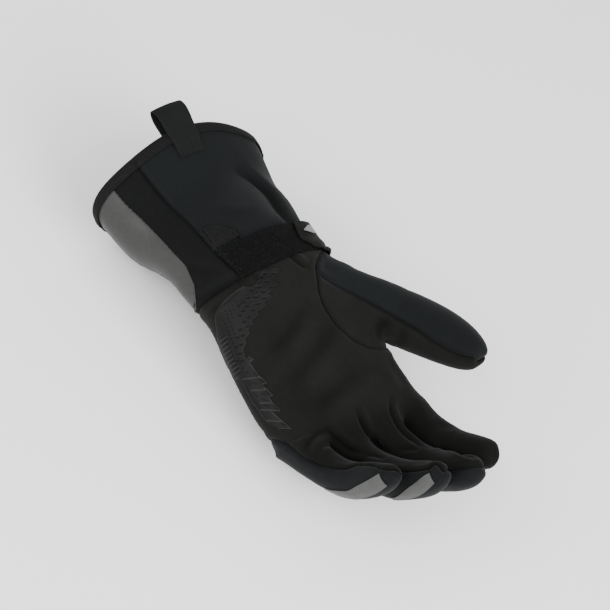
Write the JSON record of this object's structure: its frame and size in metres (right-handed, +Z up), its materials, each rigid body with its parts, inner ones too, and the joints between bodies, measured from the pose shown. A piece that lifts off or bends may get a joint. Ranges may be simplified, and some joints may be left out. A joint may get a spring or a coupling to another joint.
{
  "type": "heated gauntlet glove",
  "caption": "Padded left-hand gauntlet glove lying palm up with curled fingers: flared bound cuff, wrist strap, pull loop, textured grip patches and reflective panels.",
  "frame": {"origin": "middle of the bounding box's underside, on the surface that the back of the glove lies on", "axes": "+Y from the cuff's opening to the fingertips, +Z up out of the palm, -X towards the thumb"},
  "size_m": [0.154, 0.2912, 0.0883],
  "materials": {
    "palm": "soft synthetic suede, brown-black, low sheen",
    "hand_back": "stretch softshell, blue-charcoal, matt",
    "thumb_front": "soft synthetic suede, brown-black",
    "thumb_back": "stretch softshell, blue-charcoal, matt",
    "cuff_front": "stretch softshell, blue-charcoal, matt",
    "cuff_side": "dense black stretch cloth, matt",
    "cuff_back": "stretch softshell, blue-charcoal, matt",
    "cuff_binding": "black twill tape",
    "pull_loop": "black woven tape, sewn with a box stitch",
    "wrist_strap": "black fuzzy loop pile",
    "wrist_tab": "olive-grey laminated cloth",
    "tab_reflector": "light grey reflective film",
    "reflective_panel": "mid grey reflective laminate, satin",
    "mesh_insert": "coarse black net",
    "grip_patch_heel": "raised silicone scales, satin",
    "grip_patch_edge": "raised silicone bars, satin",
    "finger_reflector_little": "grey reflective film, satin",
    "finger_reflector_ring": "grey reflective film, satin"
  },
  "bodies": {
    "root": {"palm": "palm", "hand_back": "hand_back", "thumb_front": "thumb_front", "thumb_back": "thumb_back", "cuff_front": "cuff_front", "cuff_side": "cuff_side", "cuff_back": "cuff_back", "cuff_binding": "cuff_binding", "pull_loop": "pull_loop", "wrist_strap": "wrist_strap", "wrist_tab": "wrist_tab", "tab_reflector": "tab_reflector", "reflective_panel": "reflective_panel", "mesh_insert": "mesh_insert", "grip_patch_heel": "grip_patch_heel", "grip_patch_edge": "grip_patch_edge", "finger_reflector_little": "finger_reflector_little", "finger_reflector_ring": "finger_reflector_ring"}
  },
  "joints": []
}
